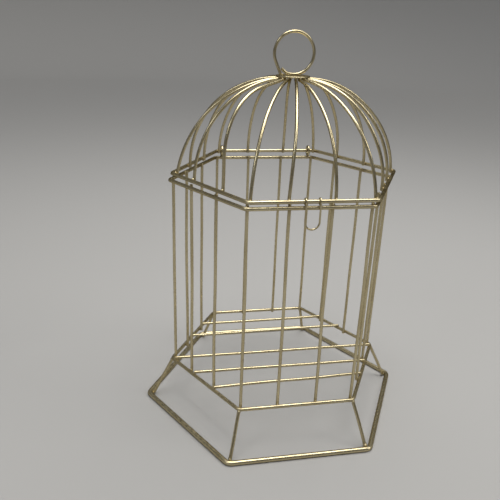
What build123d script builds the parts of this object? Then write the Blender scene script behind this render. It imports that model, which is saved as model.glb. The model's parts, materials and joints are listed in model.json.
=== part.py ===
"""Hexagonal wire bird cage on a splayed stand, with a hinged dome lid.

Every piece is a bent or straight round wire, apart from the hub disc that gathers the dome ribs.
Frame: millimetres, +Z up, the origin under the cage's centre on the surface that it stands on.
-Y is the front, where the latch hangs. +Y is the back, where the lid is hinged.
"""
from build123d import *
import math
import os

os.makedirs("parts", exist_ok=True)

# Wire gauges, as diameters.
base_wire = 3.0
leg_wire = 2.0
ring_wire = 2.2
rod_wire = 1.8
handle_wire = 1.7
hinge_wire = 1.8
latch_wire = 1.0

# Hexagons, measured from the centre to a corner along the wire's centreline.
base_corner_radius = 88.0
cage_corner_radius = 71.5
base_bend_radius = 4.0
ring_bend_radius = 3.0

# Heights of the wire centrelines above the surface.
base_height = base_wire / 2
floor_height = 28.0
top_ring_height = 152.6

# Feet of the legs: half a leg's width across its slope, and the height of its cut end's centre.
leg_half_width = 1.15
leg_foot_height = 1.2

# Welded wires sink this far into each other.
weld_sink = 0.02

# Side wires: how far each end runs past the centreline of the ring that it is welded to.
wire_foot_overrun = 0.9
wire_top_overrun = 1.5
# The side wires of the two left sides are welded this much nearer the left corner.
left_wire_shift = 3.5

# Floor bars lie on the floor ring. Each pair is the bar's y at its left end and at its right end.
floor_bar_ends = [(-40.3, -37.3), (-22.0, -22.6), (-3.0, -3.2), (25.3, 26.5), (41.8, 42.8)]

# Hinge: two wire rings stand on the cage's top ring and go loosely round the lid's back wire.
hinge_ring_inner_radius = 2.0
hinge_ring_places = {"left": -31.0, "right": 32.6}
lid_gap_at_back = 4.9
lid_side_play = 1.4

# Latch: a loop of thin wire with an eye at each end, curled round the lid's front wire.
latch_width = 8.0
latch_drop = 15.0
latch_eye_turn = 290.0
latch_clearance = 0.1

# Dome, measured from the plane of the lid ring.
corner_rib_turn = 80.0
side_rib_turn = 91.0
rib_end_radius = 8.0
rib_foot_drop = 1.0
hub_underside = 57.1
hub_radius = 10.0
hub_thickness = 0.9
hub_edge_round = 0.25
handle_radius = 11.8
# Ribs bent more or less than their neighbours.
uneven_rib_turns = {
    "front_2": 80.0,
    "right_front_2": 86.0,
    "right": 85.0,
    "back_left": 88.0,
    "left": 76.0,
    "left_front_1": 87.0,
}
# Ribs welded beside their usual place: the side of the ring that they stand on, and how far along it.
moved_ribs = {
    "front_1": ("front", 0.305),
    "back_2": ("back", 0.695),
    "back_left": ("left_back", 0.025),
    "left_back_1": ("left_back", 0.385),
    "left_back_2": ("left_back", 0.69),
    "left": ("left_front", 0.04),
    "left_front_1": ("left_front", 0.29),
}
# One rib's end is welded further round the hub.
uneven_rib_ends = {"front_1": 10.0}
# One rib stands straighter up and bends over more sharply: the reach and height of its sharp corner.
sharp_rib = "left_front_2"
shoulder_reach = 60.3
shoulder_height = 48.0
shoulder_bend_radius = 36.0

corner_names = ["right", "back_right", "back_left", "left", "front_left", "front_right"]
side_names = ["right_back", "back", "left_back", "left_front", "front", "right_front"]
cage_apothem = cage_corner_radius * math.cos(math.radians(30))
wire_inset = (ring_wire + rod_wire) / 2 - weld_sink

nodes = {}


def corner(number, radius):
    """Corner of a hexagon in its own plane, counted anticlockwise from +X."""
    angle = math.radians(60 * number)
    return Vector(radius * math.cos(angle), radius * math.sin(angle), 0)


def bent_corner_reach(corner_radius, bend_radius):
    """Distance from the centre to the wire's centreline at a rounded corner."""
    return corner_radius - bend_radius * (1 / math.cos(math.radians(30)) - 1)


def wire_along(path, wire):
    """Round wire swept along a path."""
    section = Plane(origin=path @ 0, z_dir=path % 0) * Circle(wire / 2)
    return sweep(section, path=path)


def straight_wire(start, end, wire):
    """Straight round wire between two points."""
    run = end - start
    return Plane(origin=start, z_dir=run) * Cylinder(
        wire / 2, run.length, align=(Align.CENTER, Align.CENTER, Align.MIN)
    )


def hexagon_ring(corner_radius, wire, bend_radius):
    """Closed hexagon of wire with rounded corners, made as two equal halves."""
    apothem = corner_radius * math.cos(math.radians(30))
    bends = [corner(number, corner_radius) for number in (-1, 0, 1)]
    path = FilletPolyline((0, -apothem, 0), *bends, (0, apothem, 0), radius=bend_radius)
    half = wire_along(path, wire)
    return half + half.rotate(Axis.Z, 180)


def inner_side_point(side, share):
    """Where a side wire or rib stands inside a ring, a share of the way along one of the ring's sides."""
    number = side_names.index(side)
    first = corner(number, cage_corner_radius)
    last = corner(number + 1, cage_corner_radius)
    return first + (last - first) * share - (first + last).normalized() * wire_inset


def inner_weld_points():
    """Where the side wires and ribs usually stand: at a ring's corners and the thirds of its sides.

    Each entry is a name, a point in the ring's plane, and the corner or side that it belongs to.
    """
    points = []
    reach = bent_corner_reach(cage_corner_radius, ring_bend_radius) - wire_inset
    for number, name in enumerate(corner_names):
        points.append((name, corner(number, reach), name))
    for name in side_names:
        for place in (1, 2):
            points.append((f"{name}_{place}", inner_side_point(name, place / 3), name))
    return points


def rib_arc(foot, end, turn):
    """Upright arc from a rib's foot to its end at the hub, bulging outward and turning so many degrees."""
    chord = end - foot
    outward = -Vector(chord.X, chord.Y, 0).normalized()
    bulge = outward * chord.Z - Vector(0, 0, 1) * chord.dot(outward)
    sagitta = chord.length / 2 * math.tan(math.radians(turn / 4))
    return ThreePointArc(foot, foot + chord / 2 + bulge.normalized() * sagitta, end)


# Stand: the ring on the ground and six legs that lean in to the floor ring's corners.
base_ring = hexagon_ring(base_corner_radius, base_wire, base_bend_radius)
nodes["base_ring"] = Pos(0, 0, base_height) * base_ring

leg_foot_reach = bent_corner_reach(base_corner_radius, base_bend_radius) - base_wire / 2 - leg_half_width
leg_top_reach = bent_corner_reach(cage_corner_radius, ring_bend_radius)
for number, name in enumerate(corner_names):
    foot = corner(number, leg_foot_reach) + Vector(0, 0, leg_foot_height)
    ring_centre = corner(number, leg_top_reach) + Vector(0, 0, floor_height)
    down = (foot - ring_centre).normalized()
    nodes[f"leg_{name}"] = straight_wire(ring_centre + down * (ring_wire / 2 - weld_sink), foot, leg_wire)

# Floor: a ring and the bars that lie across it.
cage_ring = hexagon_ring(cage_corner_radius, ring_wire, ring_bend_radius)
nodes["floor_ring"] = Pos(0, 0, floor_height) * cage_ring
bar_height = floor_height + (ring_wire + rod_wire) / 2 - weld_sink
for count, (left_y, right_y) in enumerate(floor_bar_ends, start=1):
    left_x = -cage_corner_radius + abs(left_y) / math.tan(math.radians(60))
    right_x = cage_corner_radius - abs(right_y) / math.tan(math.radians(60))
    left_end = Vector(left_x, left_y, bar_height)
    right_end = Vector(right_x, right_y, bar_height)
    nodes[f"floor_bar_{count}"] = straight_wire(left_end, right_end, rod_wire)

# Sides: eighteen upright wires inside the floor ring and the top ring.
nodes["top_ring"] = Pos(0, 0, top_ring_height) * cage_ring
towards_left_corner = {
    "left_front": Vector(-math.cos(math.radians(60)), math.sin(math.radians(60)), 0),
    "left_back": Vector(-math.cos(math.radians(60)), -math.sin(math.radians(60)), 0),
}
for name, point, place in inner_weld_points():
    foot = point + towards_left_corner.get(place, Vector(0, 0, 0)) * left_wire_shift
    bottom = foot + Vector(0, 0, floor_height - wire_foot_overrun)
    top = foot + Vector(0, 0, top_ring_height + wire_top_overrun)
    nodes[f"cage_wire_{name}"] = straight_wire(bottom, top, rod_wire)

# Hinge rings, welded onto the top ring's back wire.
hinge_ring_radius = hinge_ring_inner_radius + hinge_wire / 2
hinge_ring_height = top_ring_height + (ring_wire + hinge_wire) / 2 - weld_sink + hinge_ring_radius
for name, x in hinge_ring_places.items():
    hinge_ring = Rot(0, 90, 0) * Torus(hinge_ring_radius, hinge_wire / 2)
    nodes[f"hinge_ring_{name}"] = Pos(x, cage_apothem, hinge_ring_height) * hinge_ring

# Lid: made level about its own ring, then tipped so that its front rests lower than its back.
lid_gap_at_front = ring_wire + latch_wire + 2 * latch_clearance
lid_tilt = math.degrees(math.asin((lid_gap_at_back - lid_gap_at_front) / (2 * cage_apothem)))
lid_back_height = top_ring_height + lid_gap_at_back
lid_seat = (
    Pos(lid_side_play, cage_apothem, lid_back_height) * Rot(lid_tilt, 0, 0) * Pos(0, -cage_apothem, 0)
)
nodes["lid_ring"] = lid_seat * cage_ring

rib_end_height = hub_underside - rod_wire / 2 + weld_sink
for name, usual_point, place in inner_weld_points():
    weld_point = inner_side_point(*moved_ribs[name]) if name in moved_ribs else usual_point
    outward = weld_point.normalized()
    foot = weld_point + Vector(0, 0, -rib_foot_drop)
    end = outward.rotate(Axis.Z, uneven_rib_ends.get(name, 0)) * rib_end_radius
    end += Vector(0, 0, rib_end_height)
    if name == sharp_rib:
        shoulder = outward * shoulder_reach + Vector(0, 0, shoulder_height)
        path = FilletPolyline(foot, shoulder, end, radius=shoulder_bend_radius)
    else:
        usual_turn = corner_rib_turn if place in corner_names else side_rib_turn
        path = rib_arc(foot, end, uneven_rib_turns.get(name, usual_turn))
    nodes[f"dome_rib_{name}"] = lid_seat * wire_along(path, rod_wire)

hub = Cylinder(hub_radius, hub_thickness, align=(Align.CENTER, Align.CENTER, Align.MIN))
hub = fillet(hub.edges().filter_by(GeomType.CIRCLE), hub_edge_round)
nodes["hub_disc"] = lid_seat * Pos(0, 0, hub_underside) * hub

handle_height = hub_underside + hub_thickness + handle_wire / 2 - weld_sink + handle_radius
handle = Rot(90, 0, 0) * Torus(handle_radius, handle_wire / 2)
nodes["ring_handle"] = lid_seat * Pos(0, 0, handle_height) * handle

# Latch: eye, leg, round bend, leg and eye as one wire, about the axis of the lid's front wire.
eye_radius = ring_wire / 2 + latch_clearance + latch_wire / 2
bend_radius = latch_width / 2
straight_drop = latch_drop - bend_radius
tilt = math.radians(lid_tilt)
latch_axis_y = cage_apothem - 2 * cage_apothem * math.cos(tilt)
latch_axis_height = lid_back_height - 2 * cage_apothem * math.sin(tilt)


def eye_point(x, turned):
    """Point on an eye, counted in degrees from the leg, over the top and round behind."""
    angle = math.radians(180 - turned)
    return Vector(x, eye_radius * math.cos(angle), eye_radius * math.sin(angle))


def eye_with_leg(x):
    """One eye and the straight leg that hangs from its front."""
    curl = ThreePointArc(eye_point(x, latch_eye_turn), eye_point(x, latch_eye_turn / 2), eye_point(x, 0))
    leg = Line(eye_point(x, 0), eye_point(x, 0) - Vector(0, 0, straight_drop))
    return wire_along(Wire([curl.edge(), leg.edge()]), latch_wire)


left_leg_end = Vector(-bend_radius, -eye_radius, -straight_drop)
right_leg_end = Vector(bend_radius, -eye_radius, -straight_drop)
lowest = Vector(0, -eye_radius, -latch_drop)
round_bend = wire_along(ThreePointArc(left_leg_end, lowest, right_leg_end), latch_wire)
latch = eye_with_leg(-bend_radius) + round_bend + eye_with_leg(bend_radius)
nodes["latch_loop"] = Pos(0, latch_axis_y, latch_axis_height) * latch

for name, shape in nodes.items():
    export_step(shape, f"parts/{name}.step")

print(f"{len(nodes)} nodes")
print(f"lid hinge axis: y {cage_apothem:.3f}, z {lid_back_height:.3f}")
print(f"latch axis: y {latch_axis_y:.3f}, z {latch_axis_height:.3f}")
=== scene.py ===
"""Looks of the hexagonal wire bird cage: plated wire, welds, a pale floor and soft studio light.

Lengths are in metres, in the part's own frame. Places and sizes of the object are read from the
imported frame: each CAD wire is measured, and a finer wire with cut ends, bends and a finish stands
for it.
"""
import bpy
import bmesh
import json
import math
import random
import numpy as np
from mathutils import Matrix, Vector, noise


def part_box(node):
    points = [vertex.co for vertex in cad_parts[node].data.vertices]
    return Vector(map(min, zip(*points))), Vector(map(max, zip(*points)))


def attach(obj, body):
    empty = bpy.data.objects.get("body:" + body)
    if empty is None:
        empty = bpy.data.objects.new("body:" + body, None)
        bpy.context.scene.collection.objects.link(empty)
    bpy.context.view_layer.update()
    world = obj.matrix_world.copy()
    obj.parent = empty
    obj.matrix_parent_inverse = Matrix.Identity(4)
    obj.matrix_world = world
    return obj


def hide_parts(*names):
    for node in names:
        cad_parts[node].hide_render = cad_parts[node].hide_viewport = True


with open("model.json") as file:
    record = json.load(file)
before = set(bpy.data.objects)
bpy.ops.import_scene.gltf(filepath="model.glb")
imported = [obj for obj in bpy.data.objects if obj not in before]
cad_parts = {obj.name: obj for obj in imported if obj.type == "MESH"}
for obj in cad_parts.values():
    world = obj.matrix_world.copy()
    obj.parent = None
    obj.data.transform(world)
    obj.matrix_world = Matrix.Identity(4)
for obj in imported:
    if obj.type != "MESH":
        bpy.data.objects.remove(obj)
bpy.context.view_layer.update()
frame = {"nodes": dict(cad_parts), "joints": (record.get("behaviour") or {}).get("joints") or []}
nodes = frame["nodes"]
joints = {joint["name"]: joint for joint in frame["joints"]}

MM = 0.001
UP = Vector((0, 0, 1))

# How finely a wire is meshed.
SIDES_AROUND = 28
STEP_ALONG = 1.6 * MM
# How far each wire's texture is moved along from the last one's.
TEXTURE_SHIFT = 0.37

CORNERS = ["right", "back_right", "back_left", "left", "front_left", "front_right"]
SIDES = ["right_back", "back", "left_back", "left_front", "front", "right_front"]
PLACES = CORNERS + [f"{side}_{count}" for side in SIDES for count in (1, 2)]

# One rib was bent more sharply: where its corner would be (reach, height) and the bend's radius.
SHARP_RIB = "dome_rib_left_front_2"
SHOULDER = (60.3 * MM, 48.0 * MM)
SHOULDER_BEND = 36.0 * MM
# One rib was knocked sideways at its middle.
BOWED_RIBS = {"dome_rib_front_1": Vector((1.6 * MM, 0, 0))}

# The largest drift of a hand-straightened wire off its line.
LONG_WIRE_DRIFT = 0.9 * MM
LEG_DRIFT = 0.25 * MM


# ---------------------------------------------------------------- the frame, measured

def seat_of_lid():
    """The lid's own frame: level with its ring, origin at the ring's centre, +Y to the hinge."""
    back = Vector(joints["lid_hinge"]["pos_m"])
    front = Vector(joints["latch_swing"]["pos_m"])
    low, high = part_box("hub_disc")
    centre = (back + front) / 2
    centre.x = (low.x + high.x) / 2
    y_axis = (back - front).normalized()
    x_axis = Vector((1, 0, 0))
    axes = Matrix((x_axis, y_axis, x_axis.cross(y_axis))).transposed()
    return Matrix.Translation(centre) @ axes.to_4x4()


LID = seat_of_lid()
ROOM = Matrix.Identity(4)


def mesh_points(node, seat=ROOM):
    """A CAD node's vertices, as an array in the frame of seat."""
    turn = np.array(seat.inverted())
    points = np.array([vertex.co for vertex in nodes[node].data.vertices], float)
    return points @ turn[:3, :3].T + turn[:3, 3]


def straight_run(node):
    """Start, end and radius of a straight CAD wire."""
    points = mesh_points(node)
    centre = points.mean(axis=0)
    axis = np.linalg.svd(points - centre, full_matrices=False)[2][0]
    along = (points - centre) @ axis
    across = np.linalg.norm(points - centre - np.outer(along, axis), axis=1)
    ends = [Vector(centre + axis * reach) for reach in (along.min(), along.max())]
    ends.sort(key=lambda end: (round(end.z, 5), end.x))
    return ends[0], ends[1], float(across.max())


def rib_seen_flat(node):
    """A rib's vertices as (reach, height) in its own upright plane.

    Also returns the plane's outward direction, how far the plane passes beside the lid's axis, and
    the wire's radius.
    """
    points = mesh_points(node, LID)
    middle = points[:, :2].mean(axis=0)
    outward = np.linalg.svd(points[:, :2] - middle, full_matrices=False)[2][0]
    outward *= math.copysign(1.0, outward @ middle)
    aside = middle - outward * (outward @ middle)
    sideways = np.array([-outward[1], outward[0]])
    wire = float(np.abs((points[:, :2] - middle) @ sideways).max())
    flat = np.column_stack((points[:, :2] @ outward, points[:, 2]))
    return flat, Vector((*outward, 0)), Vector((*aside, 0)), wire


def arc_line(flat):
    """The centreline of an evenly bent rib: a circle through its vertices."""
    equations = np.column_stack((flat, np.ones(len(flat))))
    centre = np.linalg.lstsq(equations, (flat**2).sum(axis=1), rcond=None)[0][:2] / 2
    arms = flat - centre
    lengths = np.linalg.norm(arms, axis=1)
    radius = (lengths.min() + lengths.max()) / 2
    angles = np.arctan2(arms[:, 1], arms[:, 0])
    turns = np.linspace(angles.min(), angles.max(), 61)
    return [
        (centre[0] + radius * math.cos(turn), centre[1] + radius * math.sin(turn)) for turn in turns
    ]


def sharp_line(flat):
    """The centreline of the rib that stands up straight, bends over and runs on to the hub."""
    foot = Vector(flat[flat[:, 1] < flat[:, 1].min() + 0.1 * MM].mean(axis=0))
    end = Vector(flat[flat[:, 0] < flat[:, 0].min() + 0.4 * MM].mean(axis=0))
    shoulder = Vector(SHOULDER)
    down, inward = (foot - shoulder).normalized(), (end - shoulder).normalized()
    half_angle = down.angle(inward) / 2
    setback = SHOULDER_BEND / math.tan(half_angle)
    bend_start, bend_end = shoulder + down * setback, shoulder + inward * setback
    centre = shoulder + (down + inward).normalized() * SHOULDER_BEND / math.sin(half_angle)
    first, last = [
        math.atan2(point.y - centre.y, point.x - centre.x) for point in (bend_start, bend_end)
    ]
    line = [foot.lerp(bend_start, index / 12) for index in range(12)]
    for index in range(33):
        angle = first + (last - first) * index / 32
        line.append(centre + Vector((math.cos(angle), math.sin(angle))) * SHOULDER_BEND)
    return line + [bend_end.lerp(end, index / 12) for index in range(1, 13)]


def hexagon_of(node, seat=ROOM):
    """Corner radius of the sharp hexagon, bend radius, wire radius and height of a CAD ring."""
    points = mesh_points(node, seat)
    low, high = points.min(axis=0), points.max(axis=0)
    wire = (high[2] - low[2]) / 2
    corner = ((high[1] - low[1]) / 2 - wire) / math.cos(math.radians(30))
    bend = (corner - ((high[0] - low[0]) / 2 - wire)) / (1 / math.cos(math.radians(30)) - 1)
    return corner, bend, wire, (high[2] + low[2]) / 2


# ---------------------------------------------------------------- making wires

# Without this, Blender's vector noise starts from the clock and every run bends the wires anew.
noise.seed_set(29)


class Wobble:
    """A slow, small, seeded drift sideways, as a hand-bent wire has. It's nothing at both ends."""

    def __init__(self, seed, size):
        self.place = Vector((seed * 7.31, seed * 3.17, seed * 1.93))
        self.size = size

    def __call__(self, share):
        drift = noise.noise_vector(self.place + Vector((0, 0, share * 1.7)))
        return drift * self.size * math.sin(math.pi * share)


def resample(line, closed, step):
    """The same line with points evenly spaced about a step apart."""
    loop = line + [line[0]] if closed else line
    travelled = [0.0]
    for before, after in zip(loop, loop[1:]):
        travelled.append(travelled[-1] + (after - before).length)
    count = max(2, round(travelled[-1] / step))
    spaced = []
    index = 0
    for number in range(count if closed else count + 1):
        target = travelled[-1] * number / count
        while index < len(loop) - 2 and travelled[index + 1] < target:
            index += 1
        share = (target - travelled[index]) / max(travelled[index + 1] - travelled[index], 1e-12)
        spaced.append(loop[index].lerp(loop[index + 1], share))
    return spaced


def frames_along(line, closed):
    """A tangent and a side direction at each point, turning as little as they can along a line."""
    count = len(line)
    tangents = []
    for index in range(count):
        before = line[index - 1] if closed or index else line[0]
        after = line[(index + 1) % count] if closed or index < count - 1 else line[-1]
        tangents.append((after - before).normalized())
    side = tangents[0].orthogonal().normalized()
    sides = [side]
    for before, after in zip(tangents, tangents[1:]):
        side = before.rotation_difference(after) @ side
        side = (side - after * side.dot(after)).normalized()
        sides.append(side)
    if closed:
        carried = tangents[-1].rotation_difference(tangents[0]) @ sides[-1]
        twist = math.atan2(carried.cross(sides[0]).dot(tangents[0]), carried.dot(sides[0]))
        sides = [
            Matrix.Rotation(twist * index / count, 3, tangent) @ side
            for index, (tangent, side) in enumerate(zip(tangents, sides))
        ]
    return tangents, sides


# A cut end, its rim slightly rounded, as (how far back from the tip, distance from the wire's
# middle), both in wire radii.
CUT_END = [(0.34, 1.0), (0.16, 0.975), (0.05, 0.90), (0.0, 0.78), (-0.02, 0.42)]


def wire_mesh(name, line, radius, closed=False, step=STEP_ALONG, weld_points=(), seed=0):
    """Round wire along a line. Each vertex knows its place on the wire and how near a weld is."""
    line = resample([Vector(point) for point in line], closed, step)
    tangents, sides = frames_along(line, closed)
    rings = [(point, tangent, side, 1.0) for point, tangent, side in zip(line, tangents, sides)]
    if not closed:
        point, tangent, side, _ = rings[0]
        head = [
            (point + tangent * back * radius, tangent, side, share)
            for back, share in reversed(CUT_END)
        ]
        point, tangent, side, _ = rings[-1]
        tail = [(point - tangent * back * radius, tangent, side, share) for back, share in CUT_END]
        rings = head + rings[1:-1] + tail
    vertices, places = [], []
    travelled = 0.0
    for index, (point, tangent, side, share) in enumerate(rings):
        if index:
            travelled += (point - rings[index - 1][0]).length
        other = tangent.cross(side)
        for step_around in range(SIDES_AROUND):
            angle = math.tau * step_around / SIDES_AROUND
            out = side * math.cos(angle) + other * math.sin(angle)
            vertices.append(point + out * radius * share)
            along = travelled + seed * TEXTURE_SHIFT
            places.append((radius * math.cos(angle), radius * math.sin(angle), along))
    faces = []
    for index in range(len(rings) if closed else len(rings) - 1):
        start, following = index * SIDES_AROUND, (index + 1) % len(rings) * SIDES_AROUND
        for step_around in range(SIDES_AROUND):
            beside = (step_around + 1) % SIDES_AROUND
            faces.append(
                (start + step_around, start + beside, following + beside, following + step_around)
            )
    if not closed:
        faces.append(tuple(reversed(range(SIDES_AROUND))))
        faces.append(tuple(range(len(vertices) - SIDES_AROUND, len(vertices))))
    mesh = bpy.data.meshes.new(name)
    mesh.from_pydata(vertices, [], faces)
    mesh.update()
    mesh.polygons.foreach_set("use_smooth", [True] * len(mesh.polygons))
    mark(mesh, "wire_place", "FLOAT_VECTOR", np.array(places))
    mark(mesh, "weld_heat", "FLOAT", heat_at(vertices, weld_points))
    return mesh


def mark(mesh, name, kind, values):
    """Writes one value for each vertex of a mesh, for its material to read."""
    attribute = mesh.attributes.new(name, kind, "POINT")
    field = "vector" if kind == "FLOAT_VECTOR" else "value"
    attribute.data.foreach_set(field, np.ravel(values).astype(np.float32))


WELD_HEAT_REACH = 3.2 * MM


def heat_at(vertices, weld_points):
    """From 0 to 1, how strongly the nearest weld has dulled each vertex."""
    if not len(weld_points):
        return np.zeros(len(vertices))
    points = np.array([tuple(vertex) for vertex in vertices])
    welds = np.array([tuple(point) for point in weld_points])
    nearest = np.full(len(points), np.inf)
    for weld in welds:
        nearest = np.minimum(nearest, np.linalg.norm(points - weld, axis=1))
    return np.exp(-((nearest / WELD_HEAT_REACH) ** 2))


def place_piece(name, mesh, body, slot, replaced):
    """Puts a mesh in the scene as a piece of the object."""
    piece = bpy.data.objects.new(name, mesh)
    bpy.context.scene.collection.objects.link(piece)
    piece.data.materials.append(materials[slot])
    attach(piece, body)
    if replaced:
        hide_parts(*replaced)
    return piece


# ---------------------------------------------------------------- materials

def linked(tree, kind, **inputs):
    """A new node, with its inputs set to values or linked to other nodes' outputs."""
    node = tree.nodes.new(kind)
    for key, value in inputs.items():
        socket = node.inputs[key.replace("_", " ")]
        if isinstance(value, bpy.types.NodeSocket):
            tree.links.new(value, socket)
        else:
            socket.default_value = value
    return node


def noise_of(tree, place, stretch, scale, detail=3.0, roughness=0.55):
    """Noise over a place, drawn out by stretch along each of its axes."""
    mapped = linked(tree, "ShaderNodeMapping", Vector=place)
    mapped.inputs["Scale"].default_value = stretch
    pattern = linked(
        tree,
        "ShaderNodeTexNoise",
        Vector=mapped.outputs[0],
        Scale=scale,
        Detail=detail,
        Roughness=roughness,
    )
    return pattern.outputs["Fac"]


def ramp(tree, value, low, high, out_low, out_high):
    """Value carried from low..high to out_low..out_high, held at both ends."""
    node = tree.nodes.new("ShaderNodeMapRange")
    tree.links.new(value, node.inputs["Value"])
    node.inputs["From Min"].default_value = low
    node.inputs["From Max"].default_value = high
    node.inputs["To Min"].default_value = out_low
    node.inputs["To Max"].default_value = out_high
    return node.outputs["Result"]


def mixed(tree, share, first, second):
    """Two colours mixed by a share."""
    node = tree.nodes.new("ShaderNodeMix")
    node.data_type = "RGBA"
    tree.links.new(share, node.inputs[0])
    for socket, value in ((node.inputs[6], first), (node.inputs[7], second)):
        if isinstance(value, bpy.types.NodeSocket):
            tree.links.new(value, socket)
        else:
            socket.default_value = value
    return node.outputs[2]


def maths(tree, operation, first, second):
    """One sum on two values or sockets."""
    node = tree.nodes.new("ShaderNodeMath")
    node.operation = operation
    for socket, value in zip(node.inputs, (first, second)):
        if isinstance(value, bpy.types.NodeSocket):
            tree.links.new(value, socket)
        else:
            socket.default_value = value
    return node.outputs[0]


PALE_GOLD = (0.66, 0.578, 0.375, 1)
DEEP_GOLD = (0.53, 0.452, 0.275, 1)
DULL_GOLD = (0.30, 0.24, 0.13, 1)
WORN_GOLD = (0.70, 0.62, 0.43, 1)
# Painted shade: the metal's reflection dims towards each wire's outline, standing in for the dark
# surroundings that wire reflects at its edges.
PAINTED_EDGE_SHADE_TINT = (0.16, 0.125, 0.07, 1)

# Sizes of the finish's noises, in waves per metre.
DRIFT_WAVES, MOTTLE_WAVES, DRAWN_WAVES, MARK_WAVES = 95, 900, 7000, 330
# Scale of the drawn lines and of the other patterns along a wire. Smaller is more drawn out.
DRAWN_ALONG, PATTERN_ALONG = 0.03, 0.35
DRAWN_DEPTH, DENT_DEPTH = 0.003 * MM, 0.03 * MM


def plated_wire(name, roughness, along_wire=True):
    """Champagne-gold plating on drawn wire, with drawn lines, handling marks, dull welds and
    painted shade at each wire's outline.
    """
    material = bpy.data.materials.new(name)
    material.use_nodes = True
    tree = material.node_tree
    shader = tree.nodes["Principled BSDF"]
    shader.inputs["Metallic"].default_value = 1.0
    # Painted shade: a dark tint on the reflection towards each wire's outline.
    shader.inputs["Specular Tint"].default_value = PAINTED_EDGE_SHADE_TINT
    if along_wire:
        place = linked(tree, "ShaderNodeAttribute")
        place.attribute_name = "wire_place"
        place = place.outputs["Vector"]
        along, stretch = (1, 1, DRAWN_ALONG), (1, 1, PATTERN_ALONG)
    else:
        place = linked(tree, "ShaderNodeTexCoord").outputs["Object"]
        along, stretch = (1, 1, 1), (1, 1, 1)
    heat = linked(tree, "ShaderNodeAttribute")
    heat.attribute_name = "weld_heat"

    drift = noise_of(tree, place, stretch, DRIFT_WAVES, detail=2)
    mottle = noise_of(tree, place, stretch, MOTTLE_WAVES, detail=4)
    drawn = noise_of(tree, place, along, DRAWN_WAVES, detail=3)
    marks = noise_of(tree, place, stretch, MARK_WAVES, detail=5, roughness=0.7)

    tone = mixed(tree, ramp(tree, drift, 0.35, 0.65, 0, 1), PALE_GOLD, DEEP_GOLD)
    tone = mixed(tree, ramp(tree, mottle, 0.45, 0.75, 0, 0.30), tone, DEEP_GOLD)
    tone = mixed(tree, ramp(tree, marks, 0.60, 0.74, 0, 0.35), tone, WORN_GOLD)
    patchy = ramp(tree, mottle, 0.3, 0.65, 0.15, 0.65)
    tarnish = maths(tree, "MULTIPLY", heat.outputs["Fac"], patchy)
    tone = mixed(tree, tarnish, tone, DULL_GOLD)
    tree.links.new(tone, shader.inputs["Base Color"])

    rough = maths(tree, "ADD", ramp(tree, mottle, 0.3, 0.7, -0.03, 0.04), roughness)
    rough = maths(tree, "ADD", rough, ramp(tree, drawn, 0.3, 0.7, -0.03, 0.05))
    rough = maths(tree, "ADD", rough, maths(tree, "MULTIPLY", tarnish, 0.22))
    tree.links.new(rough, shader.inputs["Roughness"])

    lines = linked(tree, "ShaderNodeBump", Height=drawn)
    lines.inputs["Strength"].default_value = 0.25
    lines.inputs["Distance"].default_value = DRAWN_DEPTH
    dents = linked(tree, "ShaderNodeBump", Height=marks, Normal=lines.outputs[0])
    dents.inputs["Strength"].default_value = 0.15
    dents.inputs["Distance"].default_value = DENT_DEPTH
    tree.links.new(dents.outputs[0], shader.inputs["Normal"])
    return material


materials = {
    "ring_wire": plated_wire("ring_wire", 0.26),
    "upright_wire": plated_wire("upright_wire", 0.25),
    "small_wire": plated_wire("small_wire", 0.22),
    "hub": plated_wire("hub", 0.28, along_wire=False),
}
weld_material = plated_wire("weld", 0.34, along_wire=False)


# ---------------------------------------------------------------- welds

# How far a bead's surface swells and sinks, as a share of its size, and how dull its metal is.
BEAD_UNEVENNESS = 0.22
BEAD_HEAT = 0.35
# The smallest and largest bead, as shares of the usual one.
BEAD_SPREAD = (0.85, 1.15)
# Half the length and half the width of each kind of bead, in radii of its wire. The beads of
# uprights and ribs have their lengths in radii of the ring.
BEADS = {
    "upright": (1.35, 0.95),
    "leg_foot": (1.5, 1.25),
    "leg_top": (1.1, 1.15),
    "bar": (1.25, 0.9),
    "rib": (1.2, 0.95),
    "hub": (1.3, 0.7),
}
HINGE_BEAD = (1.25 * MM, 0.55 * MM)
# How far off a wire's own line the bead of an upright or rib stands, in its radii.
BEAD_OFFSET = 0.8


class Welds:
    """The beads on one body, gathered so that wires can be dulled beside them."""

    def __init__(self):
        self.beads = []

    def add(self, centre, along, half_length, half_width, seed):
        run = Vector(along).normalized()
        self.beads.append((Vector(centre), run, half_length, half_width, seed))

    def points(self):
        return [bead[0] for bead in self.beads]

    def mesh(self, name):
        """Small lumps of weld, longer along the wire, each with its own uneven shape."""
        gathered = bmesh.new()
        for centre, along, half_length, half_width, seed in self.beads:
            turn = along.to_track_quat("Z", "X").to_matrix().to_4x4()
            made = bmesh.ops.create_icosphere(gathered, subdivisions=3, radius=1.0)
            for vertex in made["verts"]:
                place = vertex.co * 1.6 + Vector((seed * 5.7, seed, -seed))
                swell = 1 + BEAD_UNEVENNESS * noise.noise(place)
                size = Vector((half_width, half_width, half_length))
                vertex.co = centre + turn @ (vertex.co * size * swell)
        mesh = bpy.data.meshes.new(name)
        gathered.to_mesh(mesh)
        gathered.free()
        mesh.polygons.foreach_set("use_smooth", [True] * len(mesh.polygons))
        mark(mesh, "weld_heat", "FLOAT", np.full(len(mesh.vertices), BEAD_HEAT))
        return mesh

    def piece(self, name, body):
        piece = place_piece(name, self.mesh(name), body, "ring_wire", [])
        piece.data.materials[0] = weld_material
        return piece


# ---------------------------------------------------------------- the cage and its stand

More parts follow.
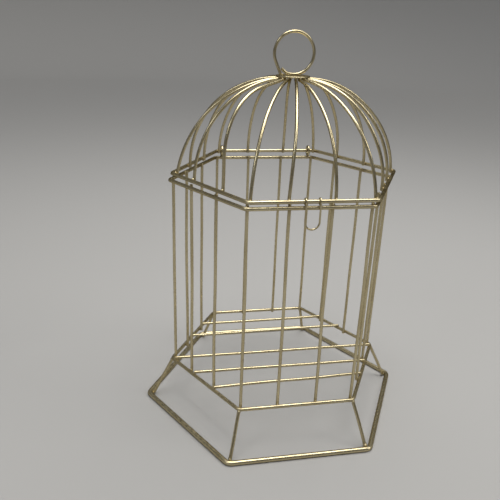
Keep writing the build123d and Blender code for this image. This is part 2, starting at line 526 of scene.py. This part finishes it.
def hexagon_line(corner_radius, bend_radius, height=0.0, steps_in_bend=8):
    """Closed hexagon with rounded corners, starting at the middle of the back side."""
    line = []
    for number in (2, 3, 4, 5, 6, 7):
        angle = math.radians(60 * number)
        point = Vector((math.cos(angle), math.sin(angle), 0)) * corner_radius
        centre = point.normalized() * (corner_radius - bend_radius / math.cos(math.radians(30)))
        for step_in_bend in range(steps_in_bend + 1):
            turned = angle + math.radians(60) * (step_in_bend / steps_in_bend - 0.5)
            line.append(centre + Vector((math.cos(turned), math.sin(turned), 0)) * bend_radius)
    start = (line[0] + line[-1]) / 2
    line = [start] + line
    return [point + UP * height for point in line]


def add_ring(node, body, weld_points, seed, seat=ROOM):
    """A hexagon of wire that stands for a CAD ring."""
    corner, bend, wire, height = hexagon_of(node, seat)
    line = [seat @ point for point in hexagon_line(corner, bend, height)]
    mesh = wire_mesh(f"{node}_wire", line, wire, closed=True, weld_points=weld_points, seed=seed)
    return place_piece(f"{node}_wire", mesh, body, "ring_wire", [node])


def add_straight(node, weld_points, seed, drift_size):
    """A straight wire with a slight drift that stands for a CAD wire."""
    start, end, wire = straight_run(node)
    drift = Wobble(seed, drift_size)
    count = 24
    line = [start.lerp(end, index / count) + drift(index / count) for index in range(count + 1)]
    mesh = wire_mesh(f"{node}_wire", line, wire, weld_points=weld_points, seed=seed)
    return place_piece(f"{node}_wire", mesh, "cage", "upright_wire", [node])


def build_cage():
    floor_height = hexagon_of("floor_ring")[3]
    top_height = hexagon_of("top_ring")[3]
    ring_wire = hexagon_of("floor_ring")[2]
    welds = Welds()
    seeds = random.Random(11)

    def bead(centre, along, half_length, half_width):
        size = seeds.uniform(*BEAD_SPREAD)
        welds.add(centre, along, half_length * size, half_width * size, seeds.uniform(0, 50))

    for name in PLACES:
        start, _, wire = straight_run(f"cage_wire_{name}")
        length, width = BEADS["upright"]
        away = Vector((start.x, start.y, 0)).normalized()
        for height in (floor_height, top_height):
            centre = Vector((start.x, start.y, height)) + away * wire * BEAD_OFFSET
            bead(centre, UP, ring_wire * length, wire * width)
    for name in CORNERS:
        foot, top, wire = straight_run(f"leg_{name}")
        run = (top - foot).normalized()
        beside_foot, below_top = foot + run * wire * 0.8, top - run * wire * 0.2
        for centre, kind in ((beside_foot, "leg_foot"), (below_top, "leg_top")):
            length, width = BEADS[kind]
            bead(centre, run, wire * length, wire * width)
    for count in range(1, 6):
        start, end, wire = straight_run(f"floor_bar_{count}")
        length, width = BEADS["bar"]
        run = (end - start).normalized()
        for tip, inward in ((start, run), (end, -run)):
            centre = tip + inward * wire * 0.4 - UP * wire * 0.7
            bead(centre, inward, wire * length, wire * width)
    hinges = []
    for side in ("left", "right"):
        low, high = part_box(f"hinge_ring_{side}")
        foot = Vector(((low.x + high.x) / 2, (low.y + high.y) / 2, low.z))
        hinges.append((f"hinge_ring_{side}", low, high))
        bead(foot, Vector((1, 0, 0)), *HINGE_BEAD)

    points = welds.points()
    for seed, node in enumerate(("base_ring", "floor_ring", "top_ring")):
        add_ring(node, "cage", points, seed)
    for seed, name in enumerate(PLACES):
        add_straight(f"cage_wire_{name}", points, 10 + seed, LONG_WIRE_DRIFT)
    for seed, name in enumerate(CORNERS):
        add_straight(f"leg_{name}", points, 40 + seed, LEG_DRIFT)
    for count in range(1, 6):
        add_straight(f"floor_bar_{count}", points, 50 + count, LONG_WIRE_DRIFT)
    for seed, (node, low, high) in enumerate(hinges):
        add_round_ring(node, "cage", low, high, points, 60 + seed)
    welds.piece("cage_welds", "cage")


def add_round_ring(node, body, low, high, weld_points, seed):
    """A small closed ring of thin wire in the plane across X."""
    wire = (high.x - low.x) / 2
    centre = (low + high) / 2
    radius = (high.z - low.z) / 2 - wire
    steps = 72
    line = [
        centre + Vector((0, math.sin(angle), math.cos(angle))) * radius
        for angle in (math.tau * index / steps for index in range(steps))
    ]
    mesh = wire_mesh(
        f"{node}_wire", line, wire, closed=True, step=0.5 * MM, weld_points=weld_points, seed=seed
    )
    return place_piece(f"{node}_wire", mesh, body, "small_wire", [node])


# ---------------------------------------------------------------- the lid

def rib_line(node, seed):
    """A rib's line in the lid's frame, with a slight drift."""
    flat, outward, aside, wire = rib_seen_flat(node)
    line = sharp_line(flat) if node == SHARP_RIB else arc_line(flat)
    drift = Wobble(seed, LONG_WIRE_DRIFT)
    bow = BOWED_RIBS.get(node, Vector((0, 0, 0)))
    count = len(line) - 1
    placed = []
    for index, (reach, height) in enumerate(line):
        share = index / count
        moved = drift(share) + bow * math.sin(math.pi * share)
        placed.append(aside + outward * reach + UP * height + moved)
    return placed, wire


def build_lid():
    _, _, ring_wire, ring_height = hexagon_of("lid_ring", LID)
    welds = Welds()
    seeds = random.Random(23)
    ribs = {}
    for seed, name in enumerate(PLACES):
        line, wire = rib_line(f"dome_rib_{name}", 70 + seed)
        ribs[name] = (line, wire)
        away = Vector((line[0].x, line[0].y, 0)).normalized()
        size = seeds.uniform(*BEAD_SPREAD)
        length, width = ring_wire * BEADS["rib"][0] * size, wire * BEADS["rib"][1] * size
        centre = Vector((line[0].x, line[0].y, ring_height)) + away * wire * BEAD_OFFSET
        welds.add(LID @ centre, UP, length, width, seeds.uniform(0, 50))
    hub = mesh_points("hub_disc", LID)
    hub_low, hub_top, hub_radius = hub[:, 2].min(), hub[:, 2].max(), hub[:, 0].max()
    for line, wire in ribs.values():
        run = (line[-1] - line[-4]).normalized()
        under = Vector((line[-1].x, line[-1].y, hub_low)) - run * wire * 0.9
        length, width = BEADS["hub"]
        along = LID.to_3x3() @ run
        welds.add(LID @ under, along, wire * length, wire * width, seeds.uniform(0, 50))

    points = welds.points()
    add_ring("lid_ring", "lid", points, 5, LID)
    for seed, name in enumerate(PLACES):
        line, wire = ribs[name]
        node = f"dome_rib_{name}"
        line = [LID @ point for point in line]
        mesh = wire_mesh(
            f"{node}_wire", line, wire, step=1.2 * MM, weld_points=points, seed=20 + seed
        )
        place_piece(f"{node}_wire", mesh, "lid", "upright_wire", [node])
    add_hub(hub_low, hub_top, hub_radius)
    add_handle(hub_top, welds, seeds)
    welds.piece("lid_welds", "lid")


# The hub's top as (share of its radius, share of its crown's depth), and the depth at its rim.
HUB_TOP = [(0.0, 0.0), (0.30, 0.05), (0.55, 0.25), (0.62, 0.95), (0.70, 1.1), (0.78, 0.6)]
HUB_RIM_DROP = 0.85


def add_hub(low, top, radius):
    """The pressed disc: slightly crowned, with a soft rim and a shallow ring pressed in its top."""
    thickness = top - low
    edge = thickness * 0.32
    crown = thickness * 0.16
    profile = [(radius * share, top - crown * depth) for share, depth in HUB_TOP]
    profile.append((radius - edge * 1.3, top - crown * HUB_RIM_DROP))
    rim_middle = (low + top - crown * HUB_RIM_DROP) / 2
    for step_round in range(7):
        angle = math.radians(90 - 30 * step_round)
        height = rim_middle + math.sin(angle) * (thickness - crown * HUB_RIM_DROP) / 2
        profile.append((radius - edge + math.cos(angle) * edge, height))
    profile += [(radius * 0.5, low), (0.0, low)]
    around = 96
    vertices, faces, rows = [], [], []
    for reach, height in profile:
        if reach == 0.0:
            rows.append([len(vertices)])
            vertices.append(LID @ Vector((0, 0, height)))
            continue
        row = []
        for step_around in range(around):
            angle = math.tau * step_around / around
            row.append(len(vertices))
            place = Vector((reach * math.cos(angle), reach * math.sin(angle), height))
            vertices.append(LID @ place)
        rows.append(row)
    for upper, lower in zip(rows, rows[1:]):
        for step_around in range(around):
            beside = (step_around + 1) % around
            if len(upper) == 1:
                faces.append((upper[0], lower[step_around], lower[beside]))
            elif len(lower) == 1:
                faces.append((upper[step_around], lower[0], upper[beside]))
            else:
                faces.append(
                    (upper[step_around], lower[step_around], lower[beside], upper[beside])
                )
    mesh = bpy.data.meshes.new("hub_disc_pressed")
    mesh.from_pydata(vertices, [], faces)
    mesh.update()
    mesh.polygons.foreach_set("use_smooth", [True] * len(mesh.polygons))
    mark(mesh, "weld_heat", "FLOAT", heat_at(vertices, [LID @ Vector((0, 0, top))]))
    return place_piece("hub_disc_pressed", mesh, "lid", "hub", ["hub_disc"])


def add_handle(hub_top, welds, seeds):
    """The hanging ring: wire comes up off the disc, turns once and ends just inside its start."""
    points = mesh_points("ring_handle", LID)
    wire = points[:, 1].max()
    radius = points[:, 0].max() - wire
    middle = (points[:, 2].min() + points[:, 2].max()) / 2

    def on_circle(degrees):
        angle = math.radians(degrees)
        return Vector((math.cos(angle), 0, math.sin(angle))) * radius

    # The wire meets the circle at the first angle and leaves it at the last, in degrees.
    first_turn, last_turn = 205, -105
    pressed_in, foot_below, run_out = 0.45 * MM, 0.35 * MM, 1.8 * MM
    tip = Vector((-7.1 * MM, 0, -8.5 * MM))
    risen = on_circle(first_turn)
    along = Vector((-math.sin(math.radians(first_turn)), 0, math.cos(math.radians(first_turn))))
    foot = risen + along * (-radius - foot_below - risen.z) / along.z
    line = [foot.lerp(risen, index / 8) for index in range(8)]
    line += [on_circle(degrees) for degrees in range(first_turn, last_turn - 1, -2)]
    start = line[-1]
    heading = (line[-1] - line[-2]).normalized()
    knee = start + heading * run_out
    for index in range(1, 25):
        share = index / 24
        line.append(start.lerp(knee, share).lerp(knee.lerp(tip, share), share))
    line = [LID @ (point + UP * (middle - pressed_in)) for point in line]
    # Its two beads on the disc: at the wire's foot and under the turn, as (place, half length).
    half_width, above_disc = 0.75 * MM, 0.15 * MM
    for place, half_length in ((foot.x + 0.4 * MM, 1.3 * MM), (0.8 * MM, 2.4 * MM)):
        centre = LID @ Vector((place, 0, hub_top + above_disc))
        welds.add(centre, Vector((1, 0, 0)), half_length, half_width, seeds.uniform(0, 50))
    welded = [LID @ Vector((0, 0, hub_top)), line[0]]
    mesh = wire_mesh("ring_handle_wire", line, wire, step=0.7 * MM, weld_points=welded, seed=45)
    return place_piece("ring_handle_wire", mesh, "lid", "small_wire", ["ring_handle"])


# ---------------------------------------------------------------- the latch

def build_latch():
    """Eye, leg, round bend, leg and eye, in one wire about the lid's front wire."""
    axis = Vector(joints["latch_swing"]["pos_m"])
    low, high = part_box("latch_loop")
    eye_outer = high.z - axis.z
    # The eye's wire fills this share of the room between its outside and the wire it turns on.
    filled = 0.92
    wire = (eye_outer - hexagon_of("top_ring")[2]) / 2 * filled
    eye_radius = eye_outer - wire
    half_width = (high.x - low.x) / 2 - wire
    lowest = low.z + wire - axis.z
    eye_turn = 285.0
    side = []
    for index in range(41):
        turned = math.radians(180 - eye_turn + eye_turn * index / 40)
        around_eye = eye_radius * math.cos(turned), eye_radius * math.sin(turned)
        side.append(Vector((half_width, *around_eye)))
    for index in range(1, 13):
        height = (lowest + half_width) * index / 12
        side.append(Vector((half_width, -eye_radius, height)))
    bend = []
    for index in range(1, 32):
        angle = math.pi * index / 32
        height = lowest + half_width - half_width * math.sin(angle)
        bend.append(Vector((half_width * math.cos(angle), -eye_radius, height)))
    mirrored = [Vector((-point.x, point.y, point.z)) for point in reversed(side)]
    line = [axis + point for point in side + bend + mirrored]
    mesh = wire_mesh("latch_loop_wire", line, wire, step=0.45 * MM, seed=47)
    return place_piece("latch_loop_wire", mesh, "latch", "small_wire", ["latch_loop"])


# ---------------------------------------------------------------- stage, light and camera

PALE_GREY = (0.38, 0.376, 0.368, 1)


def build_stage():
    """A pale floor that sweeps up all round, far outside the object."""
    flat_radius, sweep_radius, wall_height, around = 2.4, 0.8, 0.1, 96
    profile = [(0.0, 0.0), (flat_radius * 0.5, 0.0), (flat_radius, 0.0)]
    for index in range(1, 17):
        angle = math.radians(90 * index / 16)
        reach = flat_radius + sweep_radius * math.sin(angle)
        profile.append((reach, sweep_radius * (1 - math.cos(angle))))
    profile.append((flat_radius + sweep_radius, sweep_radius + wall_height))
    vertices = [(0, 0, 0)]
    faces = []
    for reach, height in profile[1:]:
        for step_around in range(around):
            angle = math.tau * step_around / around
            vertices.append((reach * math.cos(angle), reach * math.sin(angle), height))
    for step_around in range(around):
        beside = (step_around + 1) % around
        faces.append((0, 1 + step_around, 1 + beside))
        for row in range(len(profile) - 2):
            inner, outer = 1 + row * around, 1 + (row + 1) * around
            faces.append(
                (inner + step_around, outer + step_around, outer + beside, inner + beside)
            )
    mesh = bpy.data.meshes.new("floor")
    mesh.from_pydata(vertices, [], faces)
    mesh.update()
    mesh.polygons.foreach_set("use_smooth", [True] * len(mesh.polygons))
    floor = bpy.data.objects.new("floor", mesh)
    bpy.context.scene.collection.objects.link(floor)
    paper = bpy.data.materials.new("pale_paper")
    paper.use_nodes = True
    shader = paper.node_tree.nodes["Principled BSDF"]
    shader.inputs["Base Color"].default_value = PALE_GREY
    shader.inputs["Roughness"].default_value = 0.9
    shader.inputs["Specular IOR Level"].default_value = 0.2
    mesh.materials.append(paper)


def add_softbox(name, place, target, width, height, watts, colour):
    """A soft rectangular light that faces a target."""
    lamp = bpy.data.lights.new(name, "AREA")
    lamp.shape = "RECTANGLE"
    lamp.size, lamp.size_y = width, height
    lamp.energy = watts
    lamp.color = colour
    holder = bpy.data.objects.new(name, lamp)
    bpy.context.scene.collection.objects.link(holder)
    holder.location = place
    holder.rotation_mode = "QUATERNION"
    holder.rotation_quaternion = (Vector(target) - Vector(place)).to_track_quat("-Z", "Y")


def add_soft_sun(name, place, irradiance, spread, colour):
    """Even, soft light over the stage, from the direction of a place. Spread is in degrees."""
    lamp = bpy.data.lights.new(name, "SUN")
    lamp.energy = irradiance
    lamp.angle = math.radians(spread)
    lamp.color = colour
    holder = bpy.data.objects.new(name, lamp)
    bpy.context.scene.collection.objects.link(holder)
    holder.rotation_mode = "QUATERNION"
    holder.rotation_quaternion = (-Vector(place)).to_track_quat("-Z", "Y")


def build_light():
    world = bpy.data.worlds.new("studio")
    bpy.context.scene.world = world
    world.use_nodes = True
    world.node_tree.nodes["Background"].inputs["Color"].default_value = (0.95, 0.97, 1.0, 1)
    world.node_tree.nodes["Background"].inputs["Strength"].default_value = 0.17
    add_softbox("overhead", (0.12, 0.05, 0.95), (0.02, 0, 0.1), 0.75, 0.75, 8, (1.0, 0.985, 0.96))
    add_soft_sun("ceiling", (-0.1, -0.2, 1.0), 0.60, 34, (1.0, 0.99, 0.97))
    add_soft_sun("window", (0.9, -0.35, 0.75), 0.60, 22, (1.0, 0.97, 0.92))
    add_soft_sun("far_side", (-0.7, -0.45, 0.7), 0.35, 18, (0.97, 0.98, 1.0))
    bpy.context.scene.view_settings.view_transform = "Standard"


def build_camera():
    """A phone held above and to the left of the cage, tipped down and slightly rolled."""
    yaw, pitch, roll = 11.33, 21.38, 2.14
    camera = bpy.data.cameras.new("camera")
    camera.lens = 40.6
    camera.sensor_width = 36.0
    holder = bpy.data.objects.new("camera", camera)
    bpy.context.scene.collection.objects.link(holder)
    holder.location = (-0.0873, -0.3346, 0.2389)
    facing = (
        Matrix.Rotation(math.radians(-yaw), 3, "Z")
        @ Matrix.Rotation(math.radians(90 - pitch), 3, "X")
        @ Matrix.Rotation(math.radians(roll), 3, "Z")
    )
    holder.rotation_mode = "QUATERNION"
    holder.rotation_quaternion = facing.to_quaternion()
    bpy.context.scene.camera = holder


build_camera()
build_cage()
build_lid()
build_latch()
build_stage()
build_light()
